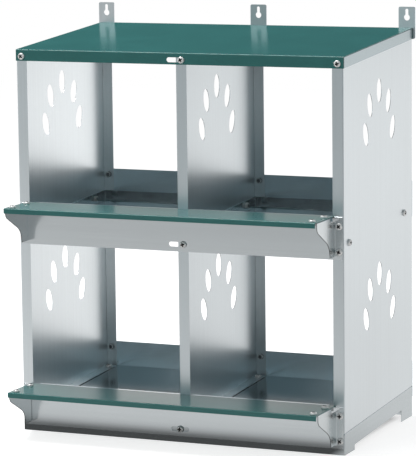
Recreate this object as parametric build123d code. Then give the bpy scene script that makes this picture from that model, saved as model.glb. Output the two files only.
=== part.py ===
"""Nesting box for hens: two tiers of two nests in folded galvanised sheet, with a roof, perches and hangers.

Millimetres. X is across the front (right-hand side positive), Y runs from the front (negative) to the rear,
Z is up. The origin is at the middle of the box around everything, on the ground.
"""
from build123d import *
import os
from math import atan, cos, degrees, radians, sin, tan

os.makedirs("parts", exist_ok=True)

# Main sizes of the sheet body
WIDTH = 610.0
DEPTH = 350.0
SHEET = 0.8
BEND = 1.0
FLANGE = 20.0
FOLD_ROOT = 4.0
FLANGE_RELIEF = 3.0
STOCK = 900.0
OVERCUT = 20.0

# Fasteners
SHANK_D = 6.0
HOLE_D = 6.6
HEAD_D = 12.0
HEAD_H = 4.0
HEAD_ROUND = 2.8
RECESS_SPAN = 6.4
RECESS_WIDTH = 1.6
RECESS_DEPTH = 2.2
NUT_SIDES = 6
NUT_ACROSS = 10.0
NUT_H = 5.0
NUT_CHAMFER = 0.6
NUT_BORE_D = 6.2
SHANK_PROUD = 1.2
TIP_CHAMFER = 0.6
DRILL_REACH = 12.0

# Floors and roof rise to the rear: heights of their top faces at the front and rear planes of the walls
FLOOR_FRONT = 37.0
FLOOR_REAR = 54.5
SHELF_FRONT = 350.0
SHELF_REAR = 368.0
ROOF_FRONT = 679.0
ROOF_REAR = 703.0

# Base pan
SKIRT_BAND = 30.0
FRONT_FOOT = 48.6
REAR_FOOT = 60.5
SLIT_WIDTH = 3.0
SLIT_EDGE_GAP = 0.5
SLIT_FRONT_MARGIN = 30.0
SLIT_REAR_MARGIN = 14.0

# Walls
WALL_TOP_CORNER = 2.4
VENT_WIDE = 24.0
VENT_TALL = 42.0
VENT_BEHIND_MIDDLE = 2.0
VENT_GROUP_TOPS = (607.0, 287.0)
# Each vent of a group: distance behind its middle, drop below its top vent, lean to the rear in degrees
VENTS = (
    (0.0, 0.0, 0.0),
    (-47.0, 21.5, -14.0),
    (47.0, 21.5, 14.0),
    (-68.0, 70.0, -20.0),
    (68.0, 70.0, 20.0),
)

# Roof and the bare strips under its side edges
ROOF_LIP = 20.0
ROOF_SCREW_DROP = 12.0
ROOF_SCREW_REAR_DROP = 10.0
TRIM_LEG = 20.0
TRIM_BEND = 0.2
TRIM_SEAT = 0.25
TRIM_END_GAP = 2.4
SLOT_LENGTH = 34.0
SLOT_HEIGHT = 8.5

# Upper shelves
SHELF_FLANGE = 20.0
SHELF_SET_BACK = 16.0
SHELF_SCREW_RISE = 11.5
SHELF_SCREW_FROM_FRONT = 24.3
SHELF_SCREW_FROM_REAR = 46.0

# Low fronts and backs of the nests
RAIL_HEIGHT = 73.5
RAIL_BOTTOMS = (336.0, 11.0)
RAIL_TOP_FLANGE = 10.0
RAIL_END_GAP = 2.5
RAIL_NOTCH_GAP = 1.2
RAIL_RELIEF_WIDE = 11.0
RAIL_RELIEF_DEEP = 9.0
RAIL_SLOT_RISE = 12.6
BOARD_HEIGHT = 65.0
BOARD_TOPS = (429.0, 101.0)
BOARD_SCREW_DROP = 11.0

# Perches and their brackets
BRACKET_INSET = 15.5
BRACKET_MOUNT_FLANGE = 14.0
BRACKET_PERCH_FLANGE = 20.0
BRACKET_BOTTOM_RISE = 6.0
BRACKET_FRONT_EDGE = 8.0
BRACKET_NOSE_R = 13.0
BRACKET_COVE_R = 32.0
BRACKET_OGEE_TURN = 62.0
BRACKET_NOTCH_DEEP = 21.0
BRACKET_NOTCH_HIGH = 9.0
BRACKET_SCREW_RISES = (13.5, 57.0)
BRACKET_SCREW_FROM_SIDE = 8.0
PERCH_SHEET = 1.0
PERCH_REACH = 93.0
PERCH_OVERHANG = 7.0
PERCH_LIP = 9.0
PERCH_END_GAP = 1.0
PERCH_REAR_GAP = 0.3
PERCH_SCREW_FROM_END = 10.0
PERCH_SCREW_FROM_LIP = 14.0
PERCH_SCREW_FROM_WALLS = 25.0

# Keyhole hangers
HANGER_WIDE = 31.0
HANGER_TALL = 57.0
HANGER_SHEET = 1.5
HANGER_CORNER_R = 3.0
KEYHOLE_D = 11.0
KEYHOLE_SLOT = 5.6
KEYHOLE_BELOW_TOP = 19.0
KEYHOLE_SLOT_END = 3.5

# Screws that hold the walls down on the base pan
BASE_SCREW_FROM_FRONT = 30.0
BASE_SCREW_FROM_REAR = 16.0

# Planes that follow from these
HALF = WIDTH / 2
REAR_REACH = SHEET + HANGER_SHEET + HEAD_H
FRONT = (PERCH_REACH - REAR_REACH - DEPTH) / 2
BACK = FRONT + DEPTH
MIDDLE_Y = (FRONT + BACK) / 2
WEB = SHEET / 2
FLANGE_MIDDLES = (-HALF + FLANGE / 2, FLANGE / 2, HALF - FLANGE / 2)
MIDDLE_X = FLANGE_MIDDLES[1]
FLOOR_SLOPE = (FLOOR_REAR - FLOOR_FRONT) / DEPTH
SHELF_SLOPE = (SHELF_REAR - SHELF_FRONT) / DEPTH
ROOF_SLOPE = (ROOF_REAR - ROOF_FRONT) / DEPTH
FLOOR_TILT = atan(FLOOR_SLOPE)
ROOF_THICK = SHEET / cos(atan(ROOF_SLOPE))

UP = (0, 0, 1)
FORWARD = (0, -1, 0)
REARWARD = (0, 1, 0)
LEFTWARD = (-1, 0, 0)
RIGHTWARD = (1, 0, 0)
OFF_FLOOR = (0, -sin(FLOOR_TILT), cos(FLOOR_TILT))


def floor_z(y):
    """Height of the base pan's floor."""
    return FLOOR_FRONT + (y - FRONT) * FLOOR_SLOPE


def shelf_z(y):
    """Height of the upper shelves' floor."""
    return SHELF_FRONT + (y - FRONT) * SHELF_SLOPE


def roof_z(y):
    """Height of the roof's top face."""
    return ROOF_FRONT + (y - FRONT) * ROOF_SLOPE


def folded(path, thickness, bend):
    """Outline of a folded sheet: the path is one face of it, the metal lies to the left of the path."""
    points = [Vector(*point) for point in path]
    runs = [(after - before).normalized() for before, after in zip(points, points[1:])]
    sides = [Vector(-run.Y, run.X) for run in runs]
    far = [points[0] + sides[0] * thickness]
    near_radii = [0.0]
    far_radii = [0.0]
    for index in range(1, len(points) - 1):
        before = sides[index - 1]
        after = sides[index]
        mitre = (before + after) * (thickness / (1.0 + before.dot(after)))
        far.append(points[index] + mitre)
        left_turn = before.cross(after).Z > 0
        near_radii.append(bend + thickness if left_turn else bend)
        far_radii.append(bend if left_turn else bend + thickness)
    far.append(points[-1] + sides[-1] * thickness)
    near_radii.append(0.0)
    far_radii.append(0.0)
    outline = points + far[::-1]
    return make_face(FilletPolyline(*outline, radius=near_radii + far_radii[::-1], close=True))


def across(outline, left, right):
    """Prism between two X planes from an outline or face drawn in Y and Z."""
    face = outline if isinstance(outline, Sketch) else make_face(Polyline(*outline, close=True))
    return extrude(Plane.YZ.offset(left) * face, amount=right - left)


def along_slope(face, start, end, slope):
    """Prism from a face drawn in X and Z at Y = start, carried rearwards up a slope to Y = end."""
    run = end - start
    direction = Vector(0, run, run * slope)
    at_start = Plane(origin=(0, start, 0), x_dir=(1, 0, 0), z_dir=(0, -1, 0))
    return extrude(at_start * face, amount=direction.length, dir=direction.normalized())


def drilled(body, spots, axis):
    """The body with a screw hole through it at each spot."""
    for spot in spots:
        body -= Plane(origin=spot, z_dir=axis) * Cylinder(HOLE_D / 2, DRILL_REACH)
    return body


def slot_cutter(z):
    """Cutter for a level slot through a front sheet, in the middle of the width."""
    at_front = Plane(origin=(0, FRONT - SHEET / 2, z), x_dir=(1, 0, 0), z_dir=(0, -1, 0))
    return extrude(at_front * SlotOverall(SLOT_LENGTH, SLOT_HEIGHT), amount=DRILL_REACH / 2, both=True)


def mirrored(body):
    """The same piece for the other side."""
    return mirror(body, about=Plane.YZ)


def screw(grip):
    """Pan-head screw with a cross recess: the head's seat is at Z = 0, the shank runs down."""
    base = (Align.CENTER, Align.CENTER, Align.MIN)
    head = Cylinder(HEAD_D / 2, HEAD_H, align=base)
    head = fillet(head.edges().sort_by(Axis.Z)[-1], HEAD_ROUND)
    recess = Box(RECESS_SPAN, RECESS_WIDTH, RECESS_DEPTH, align=base)
    recess += Box(RECESS_WIDTH, RECESS_SPAN, RECESS_DEPTH, align=base)
    head -= Pos(0, 0, HEAD_H - RECESS_DEPTH) * recess
    length = grip + NUT_H + SHANK_PROUD
    shank = Pos(0, 0, -length) * Cylinder(SHANK_D / 2, length, align=base)
    shank = chamfer(shank.edges().sort_by(Axis.Z)[0], TIP_CHAMFER)
    return head + shank


def nut(grip):
    """Hex nut on the far side of the clamped sheets."""
    base = (Align.CENTER, Align.CENTER, Align.MIN)
    corners = RegularPolygon(NUT_ACROSS / 2, NUT_SIDES, major_radius=False)
    blank = Cylinder(NUT_ACROSS / 2 / cos(radians(180 / NUT_SIDES)), NUT_H, align=base)
    blank = chamfer(blank.edges().filter_by(GeomType.CIRCLE), NUT_CHAMFER)
    body = extrude(corners, amount=NUT_H) & blank
    body -= Cylinder(NUT_BORE_D / 2, NUT_H, align=base)
    return Pos(0, 0, -grip - NUT_H) * body


def fastened(name, sets):
    """Two nodes, one of screws and one of nuts, from sets of (spots, axis of the heads, grip)."""
    screws = []
    nuts = []
    for spots, axis, grip in sets:
        for spot in spots:
            seat = Plane(origin=spot, z_dir=axis)
            screws += (seat * screw(grip)).solids()
            nuts += (seat * nut(grip)).solids()
    return {name + "_screws": Compound(children=screws), name + "_nuts": Compound(children=nuts)}


# Places of the screws: where each head sits
roof_spots = [(x, FRONT - SHEET, ROOF_FRONT - ROOF_SCREW_DROP) for x in FLANGE_MIDDLES]
hanger_spots = [(x, BACK + SHEET + HANGER_SHEET, ROOF_REAR - ROOF_SCREW_REAR_DROP) for x in FLANGE_MIDDLES]
rail_upper_spots = [(MIDDLE_X, FRONT - SHEET, RAIL_BOTTOMS[0] + RAIL_SLOT_RISE)]
rail_lower_spots = [(0.0, FRONT - SHEET, RAIL_BOTTOMS[1] + RAIL_SLOT_RISE)]
BRACKET_SCREW_X = HALF - BRACKET_SCREW_FROM_SIDE
bracket_spots = [
    (x, FRONT - 2 * SHEET, bottom + rise)
    for x in (-BRACKET_SCREW_X, BRACKET_SCREW_X)
    for bottom in RAIL_BOTTOMS
    for rise in BRACKET_SCREW_RISES
]
PERCH_END = HALF - BRACKET_INSET - PERCH_END_GAP
PERCH_SCREW_X = PERCH_END - PERCH_SCREW_FROM_END
perch_ys = (FRONT - PERCH_REACH + PERCH_SCREW_FROM_LIP, FRONT - PERCH_SCREW_FROM_WALLS)
perch_spots = [
    (x, y, bottom + RAIL_HEIGHT + PERCH_SHEET)
    for x in (-PERCH_SCREW_X, PERCH_SCREW_X)
    for bottom in RAIL_BOTTOMS
    for y in perch_ys
]
shelf_ys = (FRONT + SHELF_SCREW_FROM_FRONT, BACK - SHELF_SCREW_FROM_REAR)
shelf_yz = [(y, shelf_z(y) + SHELF_SCREW_RISE) for y in shelf_ys]
shelf_left_spots = [(-HALF, y, z) for y, z in shelf_yz]
shelf_middle_spots = [(-WEB - SHEET, y, z) for y, z in shelf_yz]
shelf_right_spots = [(HALF, y, z) for y, z in shelf_yz]
board_spots = [(x, BACK + SHEET, top - BOARD_SCREW_DROP) for top in BOARD_TOPS for x in FLANGE_MIDDLES]
base_ys = (FRONT + BASE_SCREW_FROM_FRONT, BACK - BASE_SCREW_FROM_REAR)
base_spots = [(x, y, floor_z(y) + SHEET) for x in FLANGE_MIDDLES for y in base_ys]
front_wall_spots = roof_spots + rail_upper_spots + bracket_spots
rear_wall_spots = hanger_spots + board_spots


def wall(web_x, headroom):
    """Wall with flanges bent to the right at its front, rear and bottom; web_x is its left-hand face."""
    tip = web_x + FLANGE
    plan = folded([(tip, BACK), (web_x, BACK), (web_x, FRONT), (tip, FRONT)], SHEET, BEND)
    corner = WALL_TOP_CORNER
    side = [
        (FRONT, floor_z(FRONT)),
        (BACK, floor_z(BACK)),
        (BACK, roof_z(BACK) - headroom - corner),
        (BACK - corner, roof_z(BACK - corner) - headroom),
        (FRONT + corner, roof_z(FRONT + corner) - headroom),
        (FRONT, roof_z(FRONT) - headroom - corner),
    ]
    body = extrude(plan, amount=STOCK) & across(side, web_x - OVERCUT, tip + OVERCUT)
    start = FRONT + FLANGE_RELIEF
    end = BACK - FLANGE_RELIEF
    root = [
        (start, floor_z(start)),
        (end, floor_z(end)),
        (end, floor_z(end) + FOLD_ROOT),
        (start, floor_z(start) + FOLD_ROOT),
    ]
    body -= across(root, web_x, web_x + SHEET)
    level = floor_z(start)
    fold = folded([(web_x, level + FOLD_ROOT), (web_x, level), (tip, level)], SHEET, BEND)
    body += along_slope(fold, start, end, FLOOR_SLOPE)
    for top in VENT_GROUP_TOPS:
        for back, drop, lean in VENTS:
            at_web = Plane.YZ.offset(web_x + WEB)
            vent = Pos(MIDDLE_Y + VENT_BEHIND_MIDDLE + back, top - drop) * Rot(0, 0, -lean)
            vent = vent * Ellipse(VENT_WIDE / 2, VENT_TALL / 2)
            body -= extrude(at_web * vent, amount=SHEET, both=True)
    body = drilled(body, front_wall_spots, FORWARD)
    body = drilled(body, rear_wall_spots, REARWARD)
    body = drilled(body, shelf_left_spots + shelf_middle_spots, LEFTWARD)
    return drilled(body, base_spots, OFF_FLOOR)


def pan_bends(block):
    """Edges of a block where a pan is folded: all but those of its bottom."""
    return block.edges() - block.faces().sort_by(lambda face: face.normal_at().Z)[0].edges()


def base_pan():
    """Sloping floor with a skirt all round, cut away under both sides to leave a foot at each corner."""
    outline = [(FRONT, 0), (BACK, 0), (BACK, floor_z(BACK)), (FRONT, floor_z(FRONT))]
    body = across(outline, -HALF, HALF)
    body = fillet(pan_bends(body), BEND + SHEET)
    inside = [
        (FRONT + SHEET, -SHEET),
        (BACK - SHEET, -SHEET),
        (BACK - SHEET, floor_z(BACK - SHEET) - SHEET),
        (FRONT + SHEET, floor_z(FRONT + SHEET) - SHEET),
    ]
    hollow = across(inside, -HALF + SHEET, HALF - SHEET)
    body -= fillet(pan_bends(hollow), BEND)
    gap_start = FRONT + FRONT_FOOT
    gap_end = BACK - REAR_FOOT
    gap = [
        (gap_start, 0),
        (gap_end, 0),
        (gap_end, floor_z(gap_end) - SKIRT_BAND),
        (gap_start, floor_z(gap_start) - SKIRT_BAND),
    ]
    body -= across(gap, -WIDTH, WIDTH)
    slit_edges = (
        -HALF + FLANGE + SLIT_EDGE_GAP,
        -WEB + FLANGE + SLIT_EDGE_GAP,
        HALF - FLANGE - SLIT_EDGE_GAP - SLIT_WIDTH,
    )
    start = FRONT + SLIT_FRONT_MARGIN
    end = BACK - SLIT_REAR_MARGIN
    slit = [
        (start, floor_z(start) - FOLD_ROOT),
        (end, floor_z(end) - FOLD_ROOT),
        (end, floor_z(end) + FOLD_ROOT),
        (start, floor_z(start) + FOLD_ROOT),
    ]
    for edge in slit_edges:
        body -= across(slit, edge, edge + SLIT_WIDTH)
    body = drilled(body, bracket_spots + rail_lower_spots, FORWARD)
    return drilled(body, base_spots, OFF_FLOOR)


def roof_panel():
    """Roof sheet, folded down at the front and the rear."""
    front = FRONT - SHEET
    rear = BACK + SHEET
    path = [
        (rear, ROOF_REAR - ROOF_LIP),
        (rear, roof_z(rear)),
        (front, roof_z(front)),
        (front, ROOF_FRONT - ROOF_LIP),
    ]
    body = across(folded(path, SHEET, BEND), -HALF - SHEET, HALF + SHEET)
    body -= slot_cutter(ROOF_FRONT - ROOF_SCREW_DROP)
    body = drilled(body, (roof_spots[0], roof_spots[2]), FORWARD)
    return drilled(body, hanger_spots, REARWARD)


def roof_side_trim():
    """Right-hand strip: one leg outside the wall, the other between the wall's top and the roof."""
    start = FRONT + TRIM_END_GAP
    top = roof_z(start) - ROOF_THICK
    outside = HALF + SHEET
    path = [(outside, top - TRIM_LEG + SHEET), (outside, top), (outside - TRIM_LEG, top)]
    return along_slope(folded(path, SHEET, TRIM_BEND), start, BACK - TRIM_END_GAP, ROOF_SLOPE)


def tray_bends(block):
    """Edges of a block where a tray is folded: all but those of its front and its top."""
    front = block.faces().sort_by(lambda face: face.normal_at().Y)[0]
    top = block.faces().sort_by(lambda face: face.normal_at().Z)[-1]
    return block.edges() - front.edges() - top.edges()


def upper_shelf():
    """Left-hand shelf: a tray with low flanges at both sides and the rear, open at the front."""
    left = -HALF + SHEET
    right = -WEB
    start = FRONT + SHELF_SET_BACK
    end = BACK - SHEET
    outline = [
        (start, shelf_z(start) - SHEET),
        (end, shelf_z(end) - SHEET),
        (end, shelf_z(end) + SHELF_FLANGE),
        (start, shelf_z(start) + SHELF_FLANGE),
    ]
    body = across(outline, left, right)
    body = fillet(tray_bends(body), BEND + SHEET)
    inner_end = end - SHEET
    past_front = start - OVERCUT
    above = SHELF_FLANGE + OVERCUT
    inside = [
        (past_front, shelf_z(past_front)),
        (inner_end, shelf_z(inner_end)),
        (inner_end, shelf_z(inner_end) + above),
        (past_front, shelf_z(past_front) + above),
    ]
    hollow = across(inside, left + SHEET, right - SHEET)
    body -= fillet(tray_bends(hollow), BEND)
    return drilled(body, shelf_left_spots + shelf_middle_spots, LEFTWARD)


def front_rail(bottom, slot_spots):
    """Low front of a tier: a full-width strip whose top is folded in between the walls' flanges."""
    top = bottom + RAIL_HEIGHT
    front = FRONT - SHEET
    path = [(front + RAIL_TOP_FLANGE, top), (front, top), (front, bottom)]
    body = across(folded(path, SHEET, BEND), -HALF + RAIL_END_GAP, HALF - RAIL_END_GAP)
    notches = (
        (-HALF, -HALF + FLANGE),
        (-WEB, -WEB + FLANGE),
        (HALF - FLANGE, HALF),
    )
    for left, right in notches:
        notch = [
            (FRONT, top - FOLD_ROOT),
            (FRONT + OVERCUT, top - FOLD_ROOT),
            (FRONT + OVERCUT, top + FOLD_ROOT),
            (FRONT, top + FOLD_ROOT),
        ]
        body -= across(notch, left - RAIL_NOTCH_GAP, right + RAIL_NOTCH_GAP)
    relief = [
        (front - SHEET, top - RAIL_RELIEF_DEEP),
        (FRONT + OVERCUT, top - RAIL_RELIEF_DEEP),
        (FRONT + OVERCUT, top + FOLD_ROOT),
        (front - SHEET, top + FOLD_ROOT),
    ]
    for left in (-HALF + FLANGE, HALF - FLANGE - RAIL_RELIEF_WIDE):
        body -= across(relief, left, left + RAIL_RELIEF_WIDE)
    body -= slot_cutter(slot_spots[0][2])
    return drilled(body, bracket_spots, FORWARD)


def rear_board(top):
    """Low back of a tier: a flat strip outside the walls' rear flanges."""
    bottom = top - BOARD_HEIGHT
    outline = [(BACK, bottom), (BACK + SHEET, bottom), (BACK + SHEET, top), (BACK, top)]
    return drilled(across(outline, -HALF, HALF), board_spots, REARWARD)


def perch_bracket(bottom):
    """Right-hand bracket: ogee plate, a flange out against the rail, a flange in under the perch."""
    top = bottom + RAIL_HEIGHT
    low = bottom + BRACKET_BOTTOM_RISE
    seat = FRONT - SHEET
    nose = FRONT - PERCH_REACH + PERCH_OVERHANG
    outer = HALF - BRACKET_INSET
    inner = outer - SHEET
    nose_low = top - BRACKET_FRONT_EDGE
    turn = radians(BRACKET_OGEE_TURN)
    nose_end = Vector(nose + BRACKET_NOSE_R * (1 - cos(turn)), nose_low - BRACKET_NOSE_R * sin(turn))
    cove_top = low + BRACKET_COVE_R * sin(turn)
    cove_start = Vector(nose_end.X + (nose_end.Y - cove_top) * tan(turn), cove_top)
    foot_y = cove_start.X + BRACKET_COVE_R * (1 - cos(turn))
    edge = Line((foot_y, low), (seat, low))
    edge += Line((seat, low), (seat, top))
    edge += Line((seat, top), (nose, top))
    edge += Line((nose, top), (nose, nose_low))
    edge += RadiusArc((nose, nose_low), nose_end, -BRACKET_NOSE_R)
    edge += Line(nose_end, cove_start)
    edge += RadiusArc(cove_start, (foot_y, low), BRACKET_COVE_R)
    plate = across(make_face(edge), inner - BRACKET_PERCH_FLANGE, HALF)
    plan = folded([(outer + BRACKET_MOUNT_FLANGE, seat), (inner, seat), (inner, nose)], SHEET, BEND)
    flange_top = top - BRACKET_NOTCH_HIGH
    mount = extrude(Pos(0, 0, low) * plan, amount=flange_top - low)
    shelf = folded([(outer, low), (outer, top), (outer - BRACKET_PERCH_FLANGE, top)], SHEET, BEND)
    shelf = along_slope(shelf, nose, seat - SHEET - BRACKET_NOTCH_DEEP, 0.0)
    body = (mount & plate) + (shelf & plate)
    body = drilled(body, bracket_spots, FORWARD)
    return drilled(body, perch_spots, UP)


def perch(bottom):
    """Landing perch: a strip with a lip folded down at its front, lying on two brackets."""
    under = bottom + RAIL_HEIGHT
    top = under + PERCH_SHEET
    rear = FRONT - SHEET - PERCH_REAR_GAP
    front = FRONT - PERCH_REACH
    path = [(rear, top), (front, top), (front, top - PERCH_LIP)]
    body = across(folded(path, PERCH_SHEET, BEND), -PERCH_END, PERCH_END)
    return drilled(body, perch_spots, UP)


def wall_hanger(x):
    """Plate with a keyhole that stands up behind the roof."""
    bottom = ROOF_REAR - ROOF_LIP
    top = bottom + HANGER_TALL
    at_rear = Plane(origin=(x, BACK + SHEET, 0), x_dir=(-1, 0, 0), z_dir=REARWARD)
    outline = Pos(0, bottom + HANGER_TALL / 2) * RectangleRounded(HANGER_WIDE, HANGER_TALL, HANGER_CORNER_R)
    eye = top - KEYHOLE_BELOW_TOP
    slot_top = top - KEYHOLE_SLOT_END - KEYHOLE_SLOT / 2
    outline -= Pos(0, eye) * Circle(KEYHOLE_D / 2)
    outline -= Pos(0, (eye + slot_top) / 2) * Rectangle(KEYHOLE_SLOT, slot_top - eye)
    outline -= Pos(0, slot_top) * Circle(KEYHOLE_SLOT / 2)
    return drilled(extrude(at_rear * outline, amount=HANGER_SHEET), hanger_spots, REARWARD)


left_panel = wall(-HALF, ROOF_THICK + SHEET + TRIM_SEAT)
left_shelf = upper_shelf()
right_trim = roof_side_trim()
upper_bracket = perch_bracket(RAIL_BOTTOMS[0])
lower_bracket = perch_bracket(RAIL_BOTTOMS[1])

nodes = {
    "base_pan": base_pan(),
    "left_side_panel": left_panel,
    "right_side_panel": mirrored(left_panel),
    "centre_partition": wall(-WEB, ROOF_THICK),
    "roof_panel": roof_panel(),
    "roof_side_trim_left": mirrored(right_trim),
    "roof_side_trim_right": right_trim,
    "upper_shelf_left": left_shelf,
    "upper_shelf_right": mirrored(left_shelf),
    "front_rail_upper": front_rail(RAIL_BOTTOMS[0], rail_upper_spots),
    "front_rail_lower": front_rail(RAIL_BOTTOMS[1], rail_lower_spots),
    "rear_board_upper": rear_board(BOARD_TOPS[0]),
    "rear_board_lower": rear_board(BOARD_TOPS[1]),
    "perch_upper": perch(RAIL_BOTTOMS[0]),
    "perch_lower": perch(RAIL_BOTTOMS[1]),
    "perch_bracket_upper_left": mirrored(upper_bracket),
    "perch_bracket_upper_right": upper_bracket,
    "perch_bracket_lower_left": mirrored(lower_bracket),
    "perch_bracket_lower_right": lower_bracket,
    "wall_hanger_left": wall_hanger(FLANGE_MIDDLES[0]),
    "wall_hanger_centre": wall_hanger(FLANGE_MIDDLES[1]),
    "wall_hanger_right": wall_hanger(FLANGE_MIDDLES[2]),
}
two_sheets = 2 * SHEET
three_sheets = 3 * SHEET
nodes |= fastened("roof_front", [(roof_spots, FORWARD, two_sheets)])
nodes |= fastened("hanger", [(hanger_spots, REARWARD, HANGER_SHEET + two_sheets)])
nodes |= fastened("rail_centre", [(rail_upper_spots + rail_lower_spots, FORWARD, two_sheets)])
nodes |= fastened("bracket", [(bracket_spots, FORWARD, three_sheets)])
nodes |= fastened("perch", [(perch_spots, UP, PERCH_SHEET + SHEET)])
shelf_sets = [
    (shelf_left_spots, LEFTWARD, two_sheets),
    (shelf_middle_spots, LEFTWARD, three_sheets),
    (shelf_right_spots, RIGHTWARD, two_sheets),
]
nodes |= fastened("shelf_side", shelf_sets)
nodes |= fastened("rear_board", [(board_spots, REARWARD, two_sheets)])
nodes |= fastened("base_flange", [(base_spots, OFF_FLOOR, two_sheets * cos(FLOOR_TILT))])

for name, piece in nodes.items():
    export_step(piece, f"parts/{name}.step")

low = min(piece.bounding_box().min.Z for piece in nodes.values())
high = max(piece.bounding_box().max.Z for piece in nodes.values())
print(f"{len(nodes)} nodes, height {high - low:.1f} mm, floor tilt {degrees(FLOOR_TILT):.2f} degrees")
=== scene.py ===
import math
import random

import bmesh
import bpy
from mathutils import Matrix, Vector


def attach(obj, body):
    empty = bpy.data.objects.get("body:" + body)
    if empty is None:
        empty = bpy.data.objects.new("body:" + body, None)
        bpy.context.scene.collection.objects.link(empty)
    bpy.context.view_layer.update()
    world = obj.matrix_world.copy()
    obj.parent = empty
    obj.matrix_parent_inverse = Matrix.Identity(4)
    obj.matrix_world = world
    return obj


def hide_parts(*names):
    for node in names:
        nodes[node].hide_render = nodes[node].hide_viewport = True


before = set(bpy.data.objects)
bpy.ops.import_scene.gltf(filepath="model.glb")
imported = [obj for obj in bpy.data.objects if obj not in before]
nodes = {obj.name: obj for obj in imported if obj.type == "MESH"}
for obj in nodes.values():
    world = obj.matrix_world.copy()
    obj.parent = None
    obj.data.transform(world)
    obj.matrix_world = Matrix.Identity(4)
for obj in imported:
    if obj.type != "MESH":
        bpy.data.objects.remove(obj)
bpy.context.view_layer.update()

random.seed(7)
scene = bpy.context.scene

# Lengths are in metres unless their name says otherwise

# Camera, from a fit of the box's corners to the photograph
IMAGE_W = 416
FOCAL_PX = 2805.5
EYE = Vector((1.94062, -4.50642, 1.05828))
FORWARD = Vector((-0.3916, 0.90926, -0.14109)).normalized()
AZIMUTH = math.radians(23.301)
ROLL = math.radians(-0.657)
SENSOR_MM = 36.0
CLIP_END = 50.0


def make_camera():
    """Camera of the photograph."""
    data = bpy.data.cameras.new("camera")
    data.sensor_fit = "HORIZONTAL"
    data.sensor_width = SENSOR_MM
    data.lens = FOCAL_PX / IMAGE_W * SENSOR_MM
    data.clip_end = CLIP_END
    camera = bpy.data.objects.new("camera", data)
    scene.collection.objects.link(camera)
    level = Vector((math.cos(AZIMUTH), math.sin(AZIMUTH), 0.0))
    upright = level.cross(FORWARD)
    right = (level * math.cos(ROLL) + upright * math.sin(ROLL)).normalized()
    up = right.cross(FORWARD).normalized()
    turn = Matrix((right, up, -FORWARD)).transposed()
    camera.matrix_world = Matrix.Translation(EYE) @ turn.to_4x4()
    scene.camera = camera


class Tree:
    """Short way to write the node tree of a material or a world."""

    def __init__(self, owner):
        owner.use_nodes = True
        self.tree = owner.node_tree
        self.tree.nodes.clear()

    def feed(self, socket, value):
        """Gives an input a plain value, or links it to another node's output."""
        if isinstance(value, bpy.types.NodeSocket):
            self.tree.links.new(value, socket)
        elif socket.type == "RGBA":
            socket.default_value = (*value, 1.0)
        else:
            socket.default_value = value

    def add(self, kind, inputs=(), **settings):
        """New node with its settings and its inputs, which go by name or number."""
        node = self.tree.nodes.new(kind)
        for key, value in settings.items():
            setattr(node, key, value)
        for key, value in dict(inputs).items():
            self.feed(node.inputs[key], value)
        return node

    def math(self, operation, *values, clamp=False):
        node = self.add("ShaderNodeMath", enumerate(values), operation=operation, use_clamp=clamp)
        return node.outputs[0]

    def plus(self, first, second):
        return self.math("ADD", first, second)

    def times(self, first, second):
        return self.math("MULTIPLY", first, second)

    def ramp(self, source, low, high, out_low=0.0, out_high=1.0):
        """Runs from one value to another while the source runs from low to high, and stays at its ends."""
        ends = {"From Min": low, "From Max": high, "To Min": out_low, "To Max": out_high}
        return self.add("ShaderNodeMapRange", {"Value": source, **ends}).outputs["Result"]

    def noise(self, coords, scale, detail, rough):
        inputs = {"Vector": coords, "Scale": scale, "Detail": detail, "Roughness": rough}
        return self.add("ShaderNodeTexNoise", inputs).outputs["Fac"]

    def stretched(self, coords, scale, offset):
        inputs = {"Vector": coords, "Scale": scale, "Location": offset}
        return self.add("ShaderNodeMapping", inputs).outputs["Vector"]

    def bump(self, height, strength, distance, under=None):
        """Normal with a relief on it, on top of another relief if there is one."""
        inputs = {"Height": height, "Strength": strength, "Distance": distance}
        if under is not None:
            inputs["Normal"] = under
        return self.add("ShaderNodeBump", inputs).outputs["Normal"]

    def mix(self, factor, first, second):
        """Colour that goes from the first to the second with the factor."""
        node = self.add("ShaderNodeMix", {"Factor": factor}, data_type="RGBA")
        ends = [socket for socket in node.inputs if socket.type == "RGBA"]
        for socket, value in zip(ends, (first, second)):
            self.feed(socket, value)
        return [socket for socket in node.outputs if socket.type == "RGBA"][0]

    def blend(self, factor, first, second):
        """Shader that goes from the first to the second with the factor."""
        return self.add("ShaderNodeMixShader", enumerate((factor, first, second))).outputs[0]

    def glow(self, **inputs):
        """Shader that gives light."""
        return self.add("ShaderNodeEmission", inputs).outputs[0]

    def sky(self, **inputs):
        """Shader of a world."""
        return self.add("ShaderNodeBackground", inputs).outputs[0]

    def xyz(self, vector):
        """The outputs X, Y and Z of a vector."""
        return self.add("ShaderNodeSeparateXYZ", {0: vector}).outputs

    def coords(self, kind):
        return self.add("ShaderNodeTexCoord").outputs[kind]

    def geometry(self, kind):
        return self.add("ShaderNodeNewGeometry").outputs[kind]

    def rays(self):
        """Whether a ray left a glossy or clear surface, and whether it left the camera, each as 1 or 0."""
        path = self.add("ShaderNodeLightPath").outputs
        mirrored = self.math("MAXIMUM", path["Is Glossy Ray"], path["Is Transmission Ray"])
        return mirrored, path["Is Camera Ray"]

    def principled(self, inputs):
        """Ends a material in a principled surface."""
        self.end("Material", self.add("ShaderNodeBsdfPrincipled", inputs).outputs["BSDF"])

    def end(self, owner, shader):
        """Ties a shader to the output of a material or a world."""
        self.add(f"ShaderNodeOutput{owner}", {"Surface": shader})


# Masks for faces of the sheet that take another tone: painted shade along the brackets' cut edges, a painted
# reflection tint on the rear boards, a darker tone on the pan's floor
BRACKET_PLATE_FRONT = -0.138
BOARDS_START = 0.10
SQUARE_ON = 0.9
EDGE_FACING = 0.6
TOP_FACING = 0.5
# Width of the painted dark outline along the brackets' cut edges
EDGE_BORDER = 0.0018
EDGE_BEND = (0.93, 0.995)
EDGE_SAMPLES = 8


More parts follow.
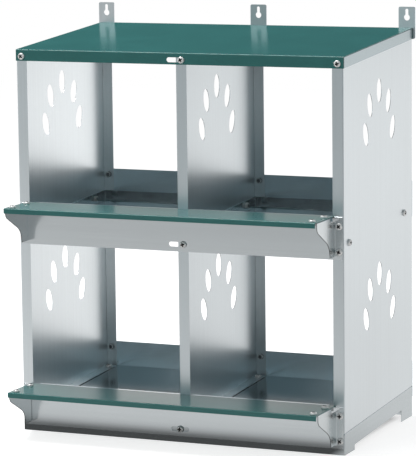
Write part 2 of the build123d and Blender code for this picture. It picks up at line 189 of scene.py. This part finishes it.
def cut_edge_and_shade_line(tree):
    """1 on the cut edges of a bracket's upright plate and on a narrow border of its faces beside them, fading
    to 0 across that border: raw edges darkened with a painted dark outline of shade.
    """
    normal = tree.geometry("True Normal")
    facing = tree.xyz(normal)
    place = tree.xyz(tree.geometry("Position"))
    edge_on = tree.math("LESS_THAN", tree.math("ABSOLUTE", facing["X"]), EDGE_FACING)
    bevel = tree.add("ShaderNodeBevel", {"Radius": EDGE_BORDER}, samples=EDGE_SAMPLES)
    normals = enumerate((bevel.outputs["Normal"], normal))
    bent = tree.add("ShaderNodeVectorMath", normals, operation="DOT_PRODUCT")
    border = tree.ramp(bent.outputs["Value"], *EDGE_BEND, 1.0, 0.0)
    not_top = tree.math("LESS_THAN", facing["Z"], TOP_FACING)
    in_front = tree.math("LESS_THAN", place["Y"], BRACKET_PLATE_FRONT)
    return tree.times(tree.math("MAXIMUM", edge_on, border), tree.times(not_top, in_front))


def floor_face(tree):
    """1 on faces that look up, else 0."""
    facing = tree.xyz(tree.geometry("True Normal"))
    return tree.math("GREATER_THAN", facing["Z"], SQUARE_ON)


def board_front(tree):
    """1 on the faces of the rear boards that look into the nests, which take a painted cool reflection tint,
    else 0.
    """
    facing = tree.xyz(tree.geometry("True Normal"))
    place = tree.xyz(tree.geometry("Position"))
    at_rear = tree.math("GREATER_THAN", place["Y"], BOARDS_START)
    return tree.times(at_rear, tree.math("LESS_THAN", facing["Y"], -SQUARE_ON))


# Patterns of the finishes: a noise is its scale, detail and roughness, a relief its strength and height
NOISE_CORE = (0.3, 0.7)
NOISE_WIDE = (0.25, 0.75)
PATTERN_OFFSET = 3.0
EVEN = (1.0, 1.0, 1.0)
STREAKS_ACROSS = 170.0
STREAKS_ALONG = 1.6
SHEET_STREAKS = (1.0, 3.0, 0.55)
SHEET_CLOUDS = (7.0, 3.0, 0.5)
SHEET_WAVES = (4.0, 1.0, 0.4)
SPANGLE_SCALE = 240.0
STREAK_SHARE = 0.50
CLOUD_SHARE = 0.38
SPANGLE_SHARE = 0.12
SHEET_TONE_SWING = 0.045
SHEET_ROUGH_SWING = 0.015
SHEET_WAVE_RELIEF = (0.12, 0.0015)
STREAK_RELIEF = (0.015, 0.0002)
COAT_CLOUDS = (14.0, 4.0, 0.55)
COAT_GRIT = (900.0, 2.0, 0.5)
COAT_PEEL = (420.0, 2.0, 0.5)
COAT_WAVES = (5.0, 1.0, 0.4)
COAT_CLOUD_SHARE = 0.6
COAT_GRIT_SHARE = 0.4
COAT_ROUGH_SWING = 0.02
COAT_WAVE_RELIEF = (0.12, 0.0012)
PEEL_RELIEF = (0.05, 0.0002)
ZINC_CLOUDS = (160.0, 3.0, 0.55)
ZINC_SCRATCHES = (1400.0, 2.0, 0.6)
ZINC_SMOOTHER = 0.05
ZINC_ROUGHER = 0.06


def galvanised(name, grain, tone, rough, where=None, other_tone=None):
    """Zinc-coated sheet: faint streaks along its grain, soft clouds, a fine spangle, slight waviness.

    A mask can give some of its faces another tone.
    """
    material = bpy.data.materials.new(name)
    tree = Tree(material)
    coords = tree.coords("Object")
    offset = tuple(random.uniform(-PATTERN_OFFSET, PATTERN_OFFSET) for _ in range(3))
    stretch = [STREAKS_ACROSS] * 3
    stretch["XYZ".index(grain)] = STREAKS_ALONG
    streaks = tree.noise(tree.stretched(coords, stretch, offset), *SHEET_STREAKS)
    moved = tree.stretched(coords, EVEN, offset)
    clouds = tree.noise(moved, *SHEET_CLOUDS)
    waves = tree.noise(moved, *SHEET_WAVES)
    spangle = tree.add("ShaderNodeTexVoronoi", {"Vector": coords, "Scale": SPANGLE_SCALE}, feature="F1")
    cell = tree.add("ShaderNodeSeparateColor", {"Color": spangle.outputs["Color"]}).outputs["Red"]
    shade = tree.plus(
        tree.times(tree.ramp(streaks, *NOISE_CORE), STREAK_SHARE),
        tree.times(tree.ramp(clouds, *NOISE_CORE), CLOUD_SHARE),
    )
    shade = tree.math("ADD", shade, tree.times(cell, SPANGLE_SHARE), clamp=True)
    dark = tuple(value * (1.0 - SHEET_TONE_SWING) for value in tone)
    light = tuple(value * (1.0 + SHEET_TONE_SWING) for value in tone)
    colour = tree.mix(shade, dark, light)
    if where is not None:
        colour = tree.mix(where(tree), colour, other_tone)
    roughness = tree.plus(
        tree.ramp(clouds, *NOISE_WIDE, rough - SHEET_ROUGH_SWING, rough + SHEET_ROUGH_SWING),
        tree.ramp(streaks, *NOISE_CORE, -SHEET_ROUGH_SWING, SHEET_ROUGH_SWING),
    )
    normal = tree.bump(streaks, *STREAK_RELIEF, tree.bump(waves, *SHEET_WAVE_RELIEF))
    tree.principled({"Base Color": colour, "Metallic": 1.0, "Roughness": roughness, "Normal": normal})
    return material


def green_coat(name, dark, light, rough):
    """Semi-gloss coating with a fine orange-peel skin."""
    material = bpy.data.materials.new(name)
    tree = Tree(material)
    coords = tree.coords("Object")
    clouds = tree.noise(coords, *COAT_CLOUDS)
    grit = tree.noise(coords, *COAT_GRIT)
    peel = tree.noise(coords, *COAT_PEEL)
    waves = tree.noise(coords, *COAT_WAVES)
    shade = tree.plus(tree.times(clouds, COAT_CLOUD_SHARE), tree.times(grit, COAT_GRIT_SHARE))
    colour = tree.mix(tree.ramp(shade, *NOISE_CORE), dark, light)
    roughness = tree.ramp(clouds, *NOISE_WIDE, rough - COAT_ROUGH_SWING, rough + COAT_ROUGH_SWING)
    normal = tree.bump(peel, *PEEL_RELIEF, tree.bump(waves, *COAT_WAVE_RELIEF))
    tree.principled({"Base Color": colour, "Roughness": roughness, "Normal": normal})
    return material


def zinc(name, dark, light, rough, metallic):
    """Zinc plate of the screws and nuts, cloudy and finely scratched; its darker copies are painted shade in
    the recesses, on the shanks and on the nuts' sides.
    """
    material = bpy.data.materials.new(name)
    tree = Tree(material)
    coords = tree.coords("Object")
    colour = tree.mix(tree.ramp(tree.noise(coords, *ZINC_CLOUDS), *NOISE_CORE), dark, light)
    scratches = tree.noise(coords, *ZINC_SCRATCHES)
    roughness = tree.ramp(scratches, *NOISE_CORE, rough - ZINC_SMOOTHER, rough + ZINC_ROUGHER)
    tree.principled({"Base Color": colour, "Metallic": metallic, "Roughness": roughness})
    return material


# Tones of the finishes; after its tones, each finish takes its roughness
SHEET_TONE = (0.685, 0.725, 0.742)
# Painted light: a lighter copy of the sheet tone for the left wall, whose sheet is the same as the others'
PAINTED_LIGHT_TONE = (0.80, 0.838, 0.853)
# Painted reflection: a cool bluish tint for the rear boards' faces inside the nests
BOARD_PAINTED_REFLECTION = (0.80, 0.92, 0.97)
SHELF_TONE = (0.55, 0.59, 0.605)
PAN_TONE = (0.50, 0.54, 0.555)
# Darker tone for the base pan's faces that look up
DARKER_PAN_FLOOR = (0.27, 0.29, 0.297)
PLATE_TONE = (0.66, 0.695, 0.705)
# Near-black for the brackets' raw cut edges and the painted dark outline of shade beside them
RAW_EDGE_AND_SHADE_LINE = (0.030, 0.032, 0.033)
HANGER_TONE = (0.78, 0.80, 0.81)
# Painted shade: a darker copy of the hanger tone for the centre hanger
HANGER_PAINTED_SHADE = (0.54, 0.58, 0.59)
TRIM_TONE = (0.40, 0.465, 0.485)
COAT_TONES = (0.020, 0.138, 0.130), (0.028, 0.165, 0.156)
PLATED_TONES = (0.86, 0.86, 0.85), (0.95, 0.95, 0.94)
GLINT_TONES = (0.80, 0.80, 0.79), (0.92, 0.92, 0.91)
# Painted shade: darker zinc for the nuts' sides and bores and the screws' shanks
PAINTED_SHADE_TONES = (0.15, 0.15, 0.155), (0.23, 0.23, 0.235)
# Painted shade: near-black for the screws' cross recesses
RECESS_PAINTED_SHADE = (0.010, 0.010, 0.011), (0.022, 0.022, 0.023)
wall_metal = galvanised("galvanised_wall", "Z", SHEET_TONE, 0.32)
# Painted light: the left wall's lighter copy of the wall finish
painted_light_wall = galvanised("galvanised_wall_painted_light", "Z", PAINTED_LIGHT_TONE, 0.32)
# The rear boards' faces inside the nests take the painted reflection tint
band_metal = galvanised("galvanised_band", "X", SHEET_TONE, 0.20, board_front, BOARD_PAINTED_REFLECTION)
floor_metal = galvanised("galvanised_floor", "Y", SHELF_TONE, 0.14)
pan_metal = galvanised("galvanised_pan", "Y", PAN_TONE, 0.14, floor_face, DARKER_PAN_FLOOR)
# The brackets' cut edges carry the near-black tone: raw edge and painted shade
plate_metal = galvanised("galvanised_plate", "Z", PLATE_TONE, 0.26, cut_edge_and_shade_line, RAW_EDGE_AND_SHADE_LINE)
hanger_metal = galvanised("galvanised_hanger", "Z", HANGER_TONE, 0.30)
# Painted shade: the centre hanger's darker copy of the hanger finish
centre_hanger_painted_shade = galvanised("galvanised_hanger_painted_shade", "Z", HANGER_PAINTED_SHADE, 0.30)
trim_metal = galvanised("galvanised_trim", "Y", TRIM_TONE, 0.24)
coat = green_coat("green_coat", *COAT_TONES, 0.20)
zinc_plate = zinc("zinc_plate", *PLATED_TONES, 0.22, metallic=0.30)
zinc_glint = zinc("zinc_glint", *GLINT_TONES, 0.20, metallic=0.85)
# Painted shade on the nuts' sides and bores and the screws' shanks
zinc_painted_shade = zinc("zinc_painted_shade", *PAINTED_SHADE_TONES, 0.35, metallic=1.0)
# Painted shade in the screws' cross recesses
painted_shade_recess = zinc("zinc_recess_painted_shade", *RECESS_PAINTED_SHADE, 0.60, metallic=0.0)

FINISHES = {
    # The left wall takes the copy with painted light
    "left_side_panel": painted_light_wall,
    "right_side_panel": wall_metal,
    "centre_partition": wall_metal,
    "base_pan": pan_metal,
    "upper_shelf_left": floor_metal,
    "upper_shelf_right": floor_metal,
    "roof_side_trim_left": trim_metal,
    "roof_side_trim_right": trim_metal,
    "front_rail_upper": band_metal,
    "front_rail_lower": band_metal,
    "rear_board_upper": band_metal,
    "rear_board_lower": band_metal,
    "perch_bracket_upper_left": plate_metal,
    "perch_bracket_upper_right": plate_metal,
    "perch_bracket_lower_left": plate_metal,
    "perch_bracket_lower_right": plate_metal,
    "wall_hanger_left": hanger_metal,
    # The centre hanger takes the copy with painted shade
    "wall_hanger_centre": centre_hanger_painted_shade,
    "wall_hanger_right": hanger_metal,
    "roof_panel": coat,
    "perch_upper": coat,
    "perch_lower": coat,
}


def paint(obj, material):
    """Gives an object one material."""
    obj.data.materials.clear()
    obj.data.materials.append(material)


for node, material in FINISHES.items():
    paint(nodes[node], material)


# Fasteners
HEAD_R = 0.0060
HEAD_H = 0.0040
HEAD_ROUND = 0.0028
HEAD_EDGE = 0.0003
SEAT_SHARE = 0.96
CROWN_STEPS = 10
CROWN_DROP = 0.0002
CROWN_FLAT_SHARE = 0.3
CROWN_FLAT_DROP = 0.00005
SCREW_SIDES = 40
SHANK_R = 0.0030
TIP_SHARE = 0.72
NECK_SHARE = 0.9
NECK_DROP = 0.0003
THREAD_PITCH = 0.0008
THREAD_END = 0.0006
THREAD_ROOT_SHARE = 0.86
# The cross recess, and how its faces are told from the head's
RECESS_SPAN = 0.0040
RECESS_HALF_WIDTH = 0.0013
RECESS_DEPTH = 0.0026
RECESS_TAPER = 0.60
RECESS_FLARE = 1.06
RECESS_OVERCUT = 0.0006
RECESS_REACH = 0.0046
RECESS_RIM = 0.0012
RECESS_STEEP = 0.7
# Nuts, and the ring that cuts their six sides
NUT_ACROSS = 0.0100
NUT_H = 0.0050
NUT_CORNERS = 6
NUT_CHAMFER = 0.0006
NUT_FACE_SHARE = 0.97
NUT_ROUND_SIDES = 48
NUT_SIDE_STEEP = 0.5
BORE_GAP = 0.0001
BORE_FLARE = 0.0010
BORE_SIDES = 32
OVERCUT = 0.001
RING_SHARE = 2.0
SHARP_ANGLE = math.radians(32.0)
# The rear boards' nuts are more metallic on their ends; the sides of the other nuts carry painted shade, but
# the shelves' nuts are bright on their sides too
GLINTING = "rear_board_nuts"
BRIGHT = "shelf_side_nuts"
# The way that the heads of each group face; the floor's screws stand square to its slope
TO_FRONT = (0.0, -1.0, 0.0)
TO_REAR = (0.0, 1.0, 0.0)
TO_LEFT = (-1.0, 0.0, 0.0)
UP = (0.0, 0.0, 1.0)
OFF_FLOOR = (0.0, -0.04994, 0.99875)
GROUP_AXES = {
    "roof_front": TO_FRONT,
    "hanger": TO_REAR,
    "rail_centre": TO_FRONT,
    "bracket": TO_FRONT,
    "perch": UP,
    "shelf_side": TO_LEFT,
    "rear_board": TO_REAR,
    "base_flange": OFF_FLOOR,
}
RIGHT_WALL_START = 0.1
# The points of a fastener lie within this of its first one, and those of its neighbours don't
FASTENER_REACH = 0.02


def clusters(obj):
    """Vertex positions of each separate fastener in a group's node."""
    groups = []
    for vertex in obj.data.vertices:
        point = vertex.co.copy()
        for group in groups:
            if (group[0] - point).length < FASTENER_REACH:
                group.append(point)
                break
        else:
            groups.append([point])
    return groups


def middle_of(points):
    """Middle of the box around some points."""
    lows = Vector([min(values) for values in zip(*points)])
    highs = Vector([max(values) for values in zip(*points)])
    return (lows + highs) / 2.0


def head_axis(group, points):
    """The way a screw's head faces; the right-hand wall's shelf screws face the other way."""
    axis = Vector(GROUP_AXES[group])
    if group == "shelf_side" and points[0].x > RIGHT_WALL_START:
        axis = -axis
    return axis.normalized()


def spun(profile, steps):
    """Closed surface of revolution about Z from (radius, height) points."""
    shape = bmesh.new()
    rings = []
    for radius, height in profile:
        if radius == 0.0:
            rings.append([shape.verts.new((0.0, 0.0, height))])
            continue
        ring = []
        for step in range(steps):
            angle = 2.0 * math.pi * step / steps
            ring.append(shape.verts.new((radius * math.cos(angle), radius * math.sin(angle), height)))
        rings.append(ring)
    for lower, upper in zip(rings, rings[1:]):
        for step in range(steps):
            following = (step + 1) % steps
            if len(lower) == 1:
                shape.faces.new((lower[0], upper[step], upper[following]))
            elif len(upper) == 1:
                shape.faces.new((lower[step], lower[following], upper[0]))
            else:
                shape.faces.new((lower[step], lower[following], upper[following], upper[step]))
    bmesh.ops.recalc_face_normals(shape, faces=shape.faces)
    return shape


def to_object(name, shape):
    """Object in the scene from a finished bmesh."""
    mesh = bpy.data.meshes.new(name)
    shape.to_mesh(mesh)
    shape.free()
    obj = bpy.data.objects.new(name, mesh)
    scene.collection.objects.link(obj)
    return obj


def cut(target, cutter):
    """Mesh of the target with the cutter taken out; both objects go."""
    modifier = target.modifiers.new("cut", "BOOLEAN")
    modifier.operation = "DIFFERENCE"
    modifier.solver = "EXACT"
    modifier.object = cutter
    graph = bpy.context.evaluated_depsgraph_get()
    mesh = bpy.data.meshes.new_from_object(target.evaluated_get(graph))
    for obj in (target, cutter):
        bpy.data.objects.remove(obj, do_unlink=True)
    return mesh


def cross_cutter(top):
    """Tapered cross of a cross-head recess."""
    shape = bmesh.new()
    span, width = RECESS_SPAN, RECESS_HALF_WIDTH
    outline = []
    for quarter in range(4):
        angle = quarter * math.pi / 2.0
        cosine, sine = math.cos(angle), math.sin(angle)
        for x, y in ((span, -width), (span, width), (width, width)):
            outline.append(Vector((x * cosine - y * sine, x * sine + y * cosine)))
    levels = []
    for share, height in ((RECESS_FLARE, top + RECESS_OVERCUT), (RECESS_TAPER, top - RECESS_DEPTH)):
        levels.append([shape.verts.new((point.x * share, point.y * share, height)) for point in outline])
    upper, lower = levels
    shape.faces.new(upper)
    shape.faces.new(lower[::-1])
    count = len(outline)
    for index in range(count):
        following = (index + 1) % count
        shape.faces.new((upper[index], lower[index], lower[following], upper[following]))
    bmesh.ops.recalc_face_normals(shape, faces=shape.faces)
    return shape


def screw_profile(length):
    """Half outline of a screw: a shank with thread ridges, a flat seat at Z = 0 and a rounded pan head."""
    profile = [(0.0, -length), (SHANK_R * TIP_SHARE, -length)]
    for turn in range(int((length - 2.0 * THREAD_END) / THREAD_PITCH)):
        base = -length + THREAD_END + turn * THREAD_PITCH
        profile += [(SHANK_R * THREAD_ROOT_SHARE, base), (SHANK_R, base + THREAD_PITCH * 0.5)]
    profile += [(SHANK_R * NECK_SHARE, -NECK_DROP), (SHANK_R, 0.0)]
    profile += [(HEAD_R * SEAT_SHARE, 0.0), (HEAD_R, HEAD_EDGE)]
    for step in range(CROWN_STEPS + 1):
        angle = math.pi / 2.0 * step / CROWN_STEPS
        radius = HEAD_R - HEAD_ROUND + HEAD_ROUND * math.cos(angle)
        profile.append((radius, HEAD_H - HEAD_ROUND + (HEAD_ROUND - CROWN_DROP) * math.sin(angle)))
    return profile + [(HEAD_R * CROWN_FLAT_SHARE, HEAD_H - CROWN_FLAT_DROP), (0.0, HEAD_H)]


def screw_mesh(length):
    """Cross-head screw; material 0 is its head, 1 its recess and 2 its shank, the last two painted shade."""
    blank = to_object("screw_blank", spun(screw_profile(length), SCREW_SIDES))
    mesh = cut(blank, to_object("cross_cutter", cross_cutter(HEAD_H)))
    for face in mesh.polygons:
        near_axis = math.hypot(face.center.x, face.center.y) < RECESS_REACH
        sunk = face.center.z < HEAD_H - RECESS_RIM or face.normal.z < RECESS_STEEP
        face.material_index = int(near_axis and sunk) if face.center.z > 0.0 else 2
    return mesh


def hex_ring(corner):
    """Ring with a hexagonal hole, which cuts a round blank to a hex nut."""
    ring = bmesh.new()
    inner = []
    outer = []
    for index in range(NUT_CORNERS):
        angle = 2.0 * math.pi / NUT_CORNERS * index
        near = Vector((math.cos(angle), math.sin(angle)))
        inner.append(near * corner)
        outer.append(near * corner * RING_SHARE)
    levels = (-NUT_H - OVERCUT, OVERCUT)
    low_in, high_in, low_out, high_out = (
        [ring.verts.new((point.x, point.y, height)) for point in points]
        for points in (inner, outer) for height in levels
    )
    for index in range(NUT_CORNERS):
        following = (index + 1) % NUT_CORNERS
        ring.faces.new((low_in[index], low_in[following], high_in[following], high_in[index]))
        ring.faces.new((low_out[index], high_out[index], high_out[following], low_out[following]))
        ring.faces.new((low_in[index], low_out[index], low_out[following], low_in[following]))
        ring.faces.new((high_in[index], high_in[following], high_out[following], high_out[index]))
    bmesh.ops.recalc_face_normals(ring, faces=ring.faces)
    return ring


def nut_mesh():
    """Chamfered hex nut; its seat is at Z = 0, it goes down. Material 0 is its ends, 1 its sides and bore,
    which take painted shade on most nuts.
    """
    corner = NUT_ACROSS / 2.0 / math.cos(math.pi / NUT_CORNERS)
    flat = NUT_ACROSS / 2.0 * NUT_FACE_SHARE
    chamfered = spun([
        (0.0, -NUT_H), (flat, -NUT_H), (corner, -NUT_H + NUT_CHAMFER),
        (corner, -NUT_CHAMFER), (flat, 0.0), (0.0, 0.0),
    ], NUT_ROUND_SIDES)
    blank = to_object("nut_blank", chamfered)
    hexed = bpy.data.objects.new("nut_hex", cut(blank, to_object("nut_ring", hex_ring(corner))))
    scene.collection.objects.link(hexed)
    bore = SHANK_R + BORE_GAP
    mouth = bore + BORE_FLARE
    hole = spun([
        (0.0, -NUT_H - OVERCUT), (mouth, -NUT_H - OVERCUT), (bore, -NUT_H + NUT_CHAMFER),
        (bore, -NUT_CHAMFER), (mouth, OVERCUT), (0.0, OVERCUT),
    ], BORE_SIDES)
    mesh = cut(hexed, to_object("nut_bore", hole))
    for face in mesh.polygons:
        face.material_index = int(abs(face.normal.z) < NUT_SIDE_STEEP)
    return mesh


def fastener_mesh(group, kind, points):
    """One screw or nut in the place of the CAD one with these points, at a random turn."""
    axis = head_axis(group, points)
    along = [point.dot(axis) for point in points]
    middle = middle_of(points)
    if kind == "screws":
        seat_height = max(along) - HEAD_H
        mesh = screw_mesh(max(along) - min(along) - HEAD_H)
    else:
        seat_height = max(along)
        mesh = nut_mesh()
    seat = middle + axis * (seat_height - middle.dot(axis))
    spin = Matrix.Rotation(random.uniform(0.0, math.pi), 3, "Z").to_quaternion()
    turn = axis.to_track_quat("Z", "Y") @ spin
    mesh.transform(Matrix.Translation(seat) @ turn.to_matrix().to_4x4())
    return mesh


def fasteners(group):
    """Finer screws and nuts in the places of a group's CAD ones."""
    for kind in ("screws", "nuts"):
        node = f"{group}_{kind}"
        joined = bmesh.new()
        for points in clusters(nodes[node]):
            mesh = fastener_mesh(group, kind, points)
            joined.from_mesh(mesh)
            bpy.data.meshes.remove(mesh)
        piece = to_object(f"fine_{node}", joined)
        piece.data.shade_smooth()
        piece.data.set_sharp_from_angle(angle=SHARP_ANGLE)
        piece.data.materials.append(zinc_glint if node == GLINTING else zinc_plate)
        if kind == "screws":
            # The recess takes the near-black zinc of painted shade
            piece.data.materials.append(painted_shade_recess)
        # Painted shade on the screws' shanks and the nuts' sides and bores, but not on the shelves' nuts
        piece.data.materials.append(zinc_plate if node == BRIGHT else zinc_painted_shade)
        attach(piece, "root")
        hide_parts(node)


for group in GROUP_AXES:
    fasteners(group)


# Studio floor
FLOOR_HALF = 6.0
FLOOR_GREY = (0.6, 0.6, 0.6)
FLOOR_WHITE = 0.75
# How bright the floor looks in the sheet metal, by its place along Y
FLOOR_TONES = (
    (-6.0, 0.30), (-4.6, 0.29), (-3.7, 0.30), (-3.0, 0.40), (-2.5, 0.52), (-1.5, 0.66),
    (-0.4, 0.72), (-0.26, 0.68), (-0.12, 0.74), (0.2, 0.90), (1.5, 0.98), (6.0, 0.98),
)
TONE_TOP = 1.5
# What is added to that from its left to its right
FLOOR_SIDES = (-2.0, 2.0)
FLOOR_SIDE_GAINS = (0.16, -0.12)
# The ground under the object and just in front of it lies in its shadow
SHADOW_MARGIN = 0.012
SHADOW_SOFT = 0.03
SHADOW_AHEAD = 0.115
SHADOW_AHEAD_SOFT = 0.05
SHADOW_AHEAD_TONE = 0.14
UNDER_TONE = 0.04


def footprint():
    """Lowest and highest corner of the box around the base pan."""
    corners = nodes["base_pan"].bound_box
    return corners[0], corners[6]


def inside_span(tree, value, low, high, soft):
    """1 between two values, fading to 0 at both over a soft width inside them."""
    off = tree.math("ABSOLUTE", tree.math("SUBTRACT", value, (low + high) / 2.0))
    half = (high - low) / 2.0
    return tree.ramp(off, half - soft, half, 1.0, 0.0)


def under_object(tree, place):
    """1 on the floor inside the footprint of the base pan, fading to 0 at its edges."""
    low, high = footprint()
    masks = []
    for axis, name in enumerate("XY"):
        span = low[axis] + SHADOW_MARGIN, high[axis] - SHADOW_MARGIN
        masks.append(inside_span(tree, place[name], *span, SHADOW_SOFT))
    return tree.times(*masks)


def ahead_of_object(tree, place):
    """1 on the strip of floor close in front of the base pan, fading to 0 at its edges."""
    low, high = footprint()
    wide = low[0] - SHADOW_AHEAD, high[0]
    deep = low[1] - SHADOW_AHEAD, low[1] + SHADOW_AHEAD
    along = inside_span(tree, place["X"], *wide, SHADOW_SOFT)
    across = inside_span(tree, place["Y"], *deep, SHADOW_AHEAD_SOFT)
    return tree.times(along, across)


def floor_tone(tree, place):
    """Brightness of the floor in reflections, clear of the object's shadow."""
    tones = tree.add("ShaderNodeValToRGB", {0: tree.ramp(place["Y"], -FLOOR_HALF, FLOOR_HALF)})
    stops = tones.color_ramp.elements
    while len(stops) < len(FLOOR_TONES):
        stops.new(0.5)
    for stop, (y, tone) in zip(stops, FLOOR_TONES):
        stop.position = (y + FLOOR_HALF) / (2.0 * FLOOR_HALF)
        stop.color = (tone / TONE_TOP, tone / TONE_TOP, tone / TONE_TOP, 1.0)
    across = tree.ramp(place["X"], *FLOOR_SIDES, *FLOOR_SIDE_GAINS)
    return tree.plus(tree.times(tones.outputs["Color"], TONE_TOP), across)


def make_floor():
    """White ground for the camera; reflections see its tones and the object's shadow on it."""
    shape = bmesh.new()
    bmesh.ops.create_grid(shape, x_segments=1, y_segments=1, size=FLOOR_HALF)
    floor = to_object("studio_floor", shape)
    material = bpy.data.materials.new("studio_floor")
    tree = Tree(material)
    place = tree.xyz(tree.coords("Object"))
    ahead = tree.ramp(ahead_of_object(tree, place), 0.0, 1.0, 1.0, SHADOW_AHEAD_TONE)
    clear = tree.ramp(under_object(tree, place), 0.0, 1.0, 1.0, UNDER_TONE)
    shown = tree.times(tree.times(floor_tone(tree, place), ahead), clear)
    mirrored, from_camera = tree.rays()
    pale = tree.add("ShaderNodeBsdfDiffuse", {"Color": FLOOR_GREY}).outputs[0]
    white = tree.glow(Strength=tree.times(clear, FLOOR_WHITE))
    lit = tree.add("ShaderNodeAddShader", enumerate((pale, white))).outputs[0]
    seen = tree.blend(from_camera, pale, lit)
    tree.end("Material", tree.blend(mirrored, seen, tree.glow(Strength=shown)))
    paint(floor, material)


# White card behind the object, seen only in its reflections. A span is where a change starts and ends.
CARD_Y = 1.5
CARD_HALF = 3.5
CARD_TOP = 1.0
CARD_FADE = (0.62, 0.86)
CARD_TONES = (0.88, 0.93)
CARD_TONE_SPAN = (0.04, 0.30)
# It is brighter in a part just right of its middle, less so at the foot of that, and towards its right end
CARD_PART_START = (-0.30, 0.0)
CARD_PART_END = (0.40, 0.56)
CARD_PART_RISE = (-0.05, 0.25)
CARD_PART_GAIN = 0.30
CARD_RIGHT_START = (0.70, 0.80)
CARD_RIGHT_GAIN = 0.14
# Its far left end is darker in a band, and brighter below that
CARD_FAR_LEFT = (-0.34, -0.14)
CARD_BAND_START = (0.40, 0.47)
CARD_BAND_END = (0.57, 0.66)
CARD_BAND_SHARE = 0.33
CARD_FOOT_LEFT = (-0.60, -0.36)
CARD_FOOT_GAIN = 0.90
DARK_STUDIO = (0.055, 0.075, 0.085)


def card_tone(tree):
    """Brightness of the card, and its height."""
    place = tree.xyz(tree.coords("Object"))
    aside, height = place["X"], place["Z"]
    part = tree.ramp(aside, *CARD_PART_END, CARD_PART_GAIN, 0.0)
    part = tree.times(part, tree.ramp(aside, *CARD_PART_START))
    part = tree.times(part, tree.ramp(height, *CARD_PART_RISE))
    right = tree.ramp(aside, *CARD_RIGHT_START, 0.0, CARD_RIGHT_GAIN)
    tone = tree.plus(tree.plus(tree.ramp(height, *CARD_TONE_SPAN, *CARD_TONES), part), right)
    below = tree.ramp(height, *CARD_BAND_START, 1.0, 0.0)
    above = tree.ramp(height, *CARD_BAND_END)
    band = tree.math("SUBTRACT", 1.0, tree.plus(below, above))
    band = tree.times(band, tree.ramp(aside, *CARD_FAR_LEFT, 1.0, 0.0))
    tone = tree.times(tone, tree.ramp(band, 0.0, 1.0, 1.0, CARD_BAND_SHARE))
    foot = tree.times(below, tree.ramp(aside, *CARD_FOOT_LEFT, CARD_FOOT_GAIN, 0.0))
    return tree.plus(tone, foot), height


def make_card():
    """Card behind the object that only reflections see: uneven across, and dark towards its top."""
    shape = bmesh.new()
    corners = []
    for x, z in ((-CARD_HALF, 0.0), (CARD_HALF, 0.0), (CARD_HALF, CARD_TOP), (-CARD_HALF, CARD_TOP)):
        corners.append(shape.verts.new((x, CARD_Y, z)))
    shape.faces.new(corners)
    card = to_object("studio_card", shape)
    material = bpy.data.materials.new("studio_card")
    tree = Tree(material)
    tone, height = card_tone(tree)
    fade = tree.ramp(height, *CARD_FADE)
    tree.end("Material", tree.blend(fade, tree.glow(Strength=tone), tree.glow(Color=DARK_STUDIO)))
    paint(card, material)
    card.visible_camera = False
    card.visible_diffuse = False
    card.visible_shadow = False


# World
WHITE = (1.0, 1.0, 1.0)
FILL = 0.40
# In reflections it goes by the way of the ray, and its right rear is cool
COOL_SIDE = (0.29, 0.40, 0.44)
BEHIND_SPAN = (-0.35, 0.25)
COOL_SPAN = (-0.05, 0.25)
# Low in front it is cool and pale, less so with height, and grey at the horizon and below
FRONT_COOL = (0.54, 0.71, 0.77)
FRONT_DIM_SPAN = (0.15, 0.19)
FRONT_DIM = 0.55
FRONT_TOP_SPAN = (0.245, 0.30)
FRONT_LOW_SPAN = (0.0, 0.05)
FRONT_TONES = (0.45, 0.33)
FRONT_SPAN = (-0.45, -0.34)


def mirrored_sky(tree):
    """Colour of the world in reflections: a dark studio, cool at the right rear and low in front."""
    way = tree.xyz(tree.coords("Generated"))
    behind = tree.ramp(way["Y"], *BEHIND_SPAN)
    ahead = tree.math("SUBTRACT", 1.0, behind)
    colour = tree.mix(tree.times(behind, tree.ramp(way["X"], *COOL_SPAN)), DARK_STUDIO, COOL_SIDE)
    rise = tree.times(
        tree.ramp(way["Z"], *FRONT_DIM_SPAN, 1.0, FRONT_DIM),
        tree.ramp(way["Z"], *FRONT_TOP_SPAN, 1.0, 0.0),
    )
    colour = tree.mix(tree.times(ahead, rise), colour, FRONT_COOL)
    low = tree.times(ahead, tree.ramp(way["Z"], *FRONT_LOW_SPAN, 1.0, 0.0))
    return tree.mix(low, colour, tree.ramp(way["X"], *FRONT_SPAN, *FRONT_TONES))


def make_world():
    """White for the camera, a plain white fill for the light, and a studio for reflections."""
    world = bpy.data.worlds.new("studio")
    scene.world = world
    tree = Tree(world)
    mirrored, from_camera = tree.rays()
    plain = tree.blend(from_camera, tree.sky(Color=WHITE, Strength=FILL), tree.sky(Color=WHITE))
    tree.end("World", tree.blend(mirrored, plain, tree.sky(Color=mirrored_sky(tree))))


LAMP_SIZE = 1.6


def soft_light(name, place, target, power):
    """Square area lamp that looks at a target."""
    data = bpy.data.lights.new(name, "AREA")
    data.shape = "SQUARE"
    data.size = LAMP_SIZE
    data.energy = power
    lamp = bpy.data.objects.new(name, data)
    scene.collection.objects.link(lamp)
    lamp.location = place
    aim = Vector(target) - Vector(place)
    lamp.rotation_euler = aim.to_track_quat("-Z", "Y").to_euler()
    lamp.visible_camera = False


make_camera()
make_floor()
make_card()
make_world()
soft_light("key", place=(-1.2, -3.0, 2.6), target=(0.0, 0.0, 0.35), power=18.0)
soft_light("top", place=(-0.85, 0.0, 2.9), target=(0.0, 0.0, 0.4), power=68.0)
scene.view_settings.view_transform = "Standard"
